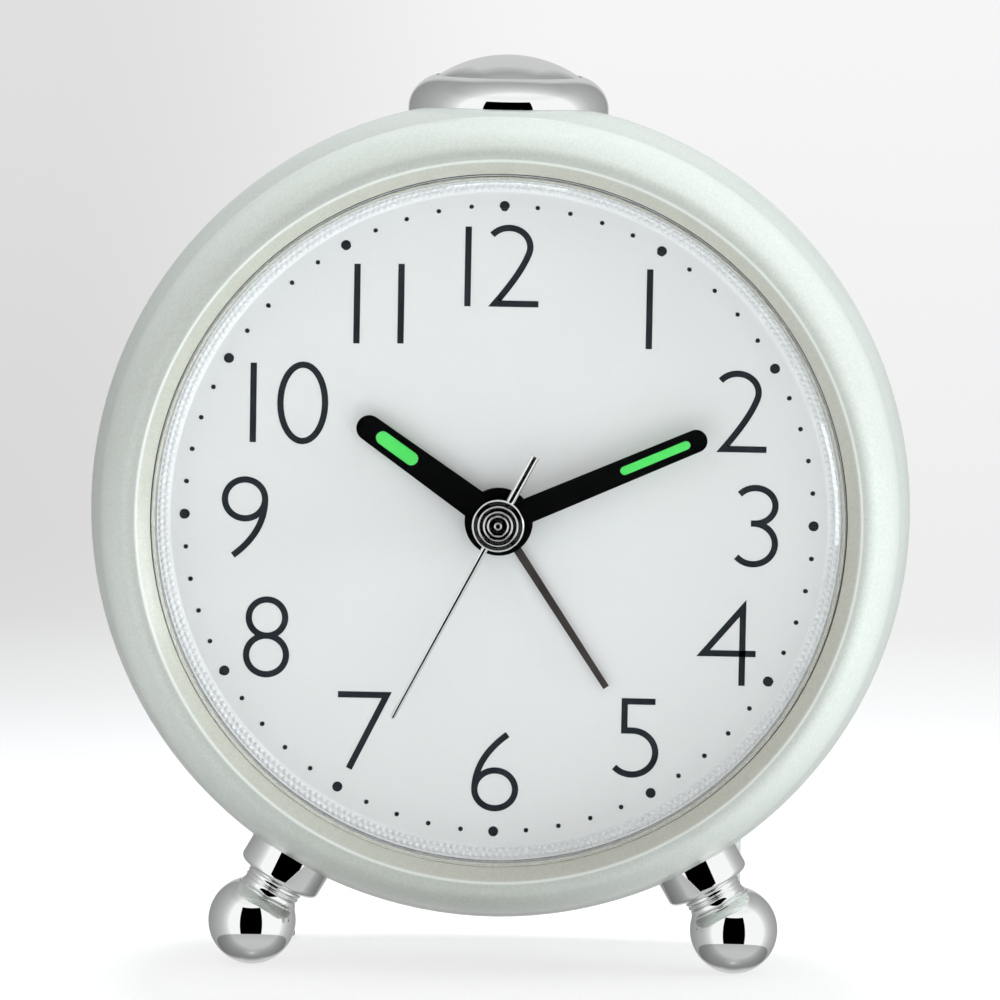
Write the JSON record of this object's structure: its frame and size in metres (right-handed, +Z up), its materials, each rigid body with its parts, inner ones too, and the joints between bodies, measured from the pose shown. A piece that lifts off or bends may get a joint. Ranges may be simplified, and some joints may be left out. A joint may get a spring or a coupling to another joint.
{
  "type": "alarm clock",
  "caption": "Round quartz alarm clock with a domed lens, analogue dial and hands, a chrome snooze button on top, chrome ball feet and a battery bay behind.",
  "frame": {"origin": "the middle of the box around the clock, on the surface that it stands on", "axes": "+Z up, +Y from the face to the back, +X to the right as the face is read"},
  "size_m": [0.102, 0.057, 0.1142],
  "materials": {
    "pearl_lacquer": "pearl lacquer, gloss",
    "clear_lens": "clear, polished",
    "ring_white": "gloss",
    "dial_white": "printed, satin",
    "movement_white": "moulded",
    "chrome": "polished",
    "hand_black": "satin black",
    "alarm_hand_brown": "satin dark brown",
    "lume_green": "luminous green",
    "pad_rubber": "matt",
    "rear_plastic": "fine texture",
    "knob_plastic": "satin black",
    "black_plastic": "matt black",
    "steel": "zinc plated",
    "terminal_brass": "plain",
    "magnet_grey": "sintered",
    "copper_wire": "enamelled copper",
    "board_green": "solder mask",
    "cell_jacket": "printed jacket, plain",
    "gear_nylon": "nylon"
  },
  "bodies": {
    "case": {"alarm_contact_spring": "terminal_brass", "alarm_switch_body": "black_plastic", "battery": "cell_jacket", "battery_spring": "steel", "battery_terminals": "steel", "beaded_ring": "ring_white", "button_collar": "chrome", "buzzer": "black_plastic", "carrier_screws": "steel", "case_shell": "pearl_lacquer", "circuit_board": "board_green", "coil_bobbin": "black_plastic", "coil_winding": "copper_wire", "dial": "dial_white", "dial_carrier": "movement_white", "foot_screws": "steel", "foot_washers": "steel", "front_bezel": "pearl_lacquer", "front_foot_left": "chrome", "front_foot_right": "chrome", "lens": "clear_lens", "movement_front_plate": "movement_white", "movement_middle_plate": "movement_white", "movement_rear_case": "movement_white", "movement_screws": "steel", "quartz_crystal": "chrome", "rear_cover": "rear_plastic", "rear_cover_screws": "steel", "rear_leg_left": "pearl_lacquer", "rear_leg_pads": "pad_rubber", "rear_leg_right": "pearl_lacquer", "snooze_spring": "steel", "snooze_switch": "black_plastic", "stator": "steel", "switch_board": "board_green"},
    "snooze_button": {"snooze_button": "chrome"},
    "alarm_slider": {"alarm_switch_slider": "knob_plastic"},
    "battery_door": {"battery_door": "rear_plastic"},
    "seconds": {"second_wheel": "gear_nylon", "second_hand": "chrome", "second_hand_cap": "chrome"},
    "rotor": {"rotor_pinion": "gear_nylon", "rotor_magnet": "magnet_grey"},
    "fifth_arbor": {"fifth_wheel": "gear_nylon"},
    "third_arbor": {"third_wheel": "gear_nylon"},
    "centre_arbor": {"centre_wheel": "gear_nylon"},
    "time_setting": {"time_set_knob": "knob_plastic", "minute_wheel": "gear_nylon"},
    "minutes": {"cannon_pinion": "gear_nylon", "minute_hand": "hand_black", "minute_hand_lume": "lume_green"},
    "hours": {"hour_wheel": "gear_nylon", "hour_hand": "hand_black", "hour_hand_lume": "lume_green"},
    "alarm_setting": {"alarm_set_knob": "knob_plastic", "alarm_set_shaft": "gear_nylon"},
    "alarm_time": {"alarm_wheel": "gear_nylon", "alarm_hand": "alarm_hand_brown"}
  },
  "joints": [
    {"name": "snooze_press", "type": "slide", "parent": "case", "child": "snooze_button", "axis": [0, 0, -1], "range_m": [0, 0.0012], "stiffness_N_per_m": 1500, "springref_m": -0.0005, "deforming": ["snooze_spring"]},
    {"name": "alarm_switch_slide", "type": "slide", "parent": "case", "child": "alarm_slider", "axis": [1, 0, 0], "range_m": [0, 0.004]},
    {"name": "battery_door_hinge", "type": "hinge", "parent": "case", "child": "battery_door", "pos_m": [0, 0.02075, 0.03121], "axis": [-1, 0, 0], "range_deg": [0, 70]},
    {"name": "second_spin", "type": "hinge", "parent": "case", "child": "seconds", "pos_m": [0, -0.001, 0.05781], "axis": [0, 1, 0], "continuous": true},
    {"name": "rotor_spin", "type": "hinge", "parent": "case", "child": "rotor", "pos_m": [0.0012, -0.001, 0.04118], "axis": [0, 1, 0], "continuous": true},
    {"name": "fifth_spin", "type": "hinge", "parent": "case", "child": "fifth_arbor", "pos_m": [0.0054, -0.001, 0.04845], "axis": [0, 1, 0], "continuous": true},
    {"name": "third_spin", "type": "hinge", "parent": "case", "child": "third_arbor", "pos_m": [-0.0054, -0.001, 0.06716], "axis": [0, 1, 0], "continuous": true},
    {"name": "centre_spin", "type": "hinge", "parent": "case", "child": "centre_arbor", "pos_m": [0, -0.001, 0.05781], "axis": [0, 1, 0], "continuous": true},
    {"name": "time_set_spin", "type": "hinge", "parent": "case", "child": "time_setting", "pos_m": [0.012, -0.001, 0.05781], "axis": [0, 1, 0], "continuous": true},
    {"name": "minute_spin", "type": "hinge", "parent": "case", "child": "minutes", "pos_m": [0, -0.001, 0.05781], "axis": [0, 1, 0], "continuous": true},
    {"name": "hour_spin", "type": "hinge", "parent": "case", "child": "hours", "pos_m": [0, -0.001, 0.05781], "axis": [0, 1, 0], "continuous": true},
    {"name": "alarm_set_spin", "type": "hinge", "parent": "case", "child": "alarm_setting", "pos_m": [-0.012, -0.001, 0.05781], "axis": [0, 1, 0], "continuous": true},
    {"name": "alarm_spin", "type": "hinge", "parent": "case", "child": "alarm_time", "pos_m": [0, -0.001, 0.05781], "axis": [0, 1, 0], "continuous": true}
  ],
  "couplings": [
    {"joint": "rotor_spin", "follows": "second_spin", "ratio": 30},
    {"joint": "fifth_spin", "follows": "second_spin", "ratio": -5},
    {"joint": "third_spin", "follows": "second_spin", "ratio": -0.13333},
    {"joint": "centre_spin", "follows": "second_spin", "ratio": 0.016667},
    {"joint": "minute_spin", "follows": "time_set_spin", "ratio": -3},
    {"joint": "hour_spin", "follows": "time_set_spin", "ratio": -0.25},
    {"joint": "alarm_spin", "follows": "alarm_set_spin", "ratio": -0.25}
  ]
}
